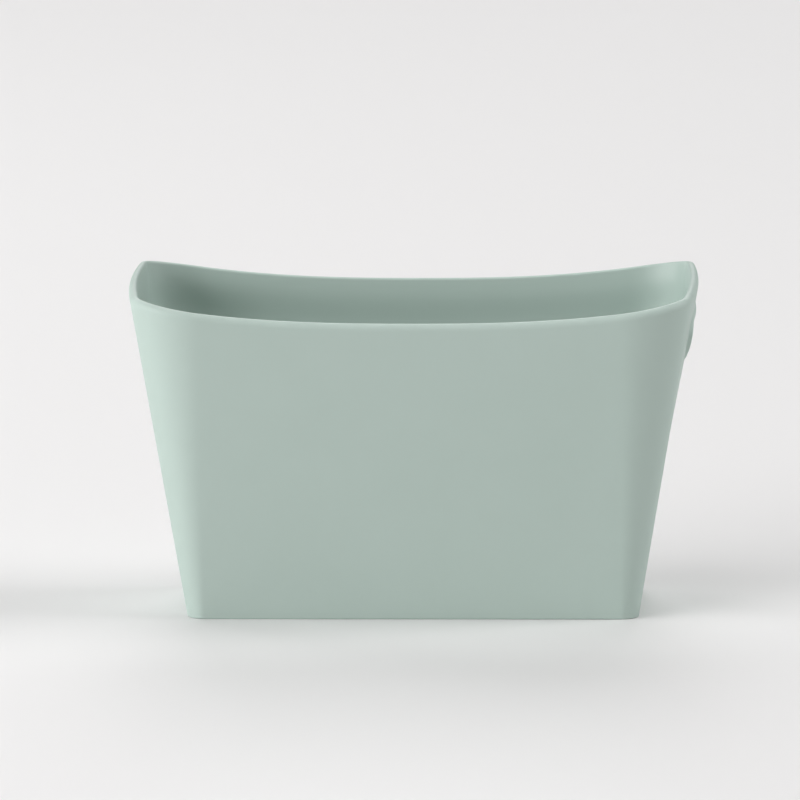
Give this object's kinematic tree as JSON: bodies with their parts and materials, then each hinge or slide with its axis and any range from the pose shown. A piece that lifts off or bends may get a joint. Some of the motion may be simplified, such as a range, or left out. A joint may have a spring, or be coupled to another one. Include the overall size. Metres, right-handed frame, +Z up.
{
  "type": "storage basket",
  "caption": "Open tapered rectangular storage tub with rounded corners, a thick rim that dips at front and back, and a hand slot in each end, the right one collared.",
  "frame": {"origin": "on the floor, under the middle of the tub", "axes": "+Z up out of the mouth, +X along the width to the right-hand slot, +Y to the back wall"},
  "size_m": [0.383, 0.1968, 0.222],
  "materials": {
    "tub_plastic": "satin, fine moulded grain, sage green"
  },
  "bodies": {
    "root": {"base_panel": "tub_plastic", "front_wall": "tub_plastic", "back_wall": "tub_plastic", "left_wall": "tub_plastic", "right_wall": "tub_plastic", "front_left_corner": "tub_plastic", "front_right_corner": "tub_plastic", "back_left_corner": "tub_plastic", "back_right_corner": "tub_plastic", "front_rim_bead": "tub_plastic", "back_rim_bead": "tub_plastic", "left_rim_bead": "tub_plastic", "right_rim_bead": "tub_plastic", "right_slot_collar": "tub_plastic"}
  },
  "joints": []
}
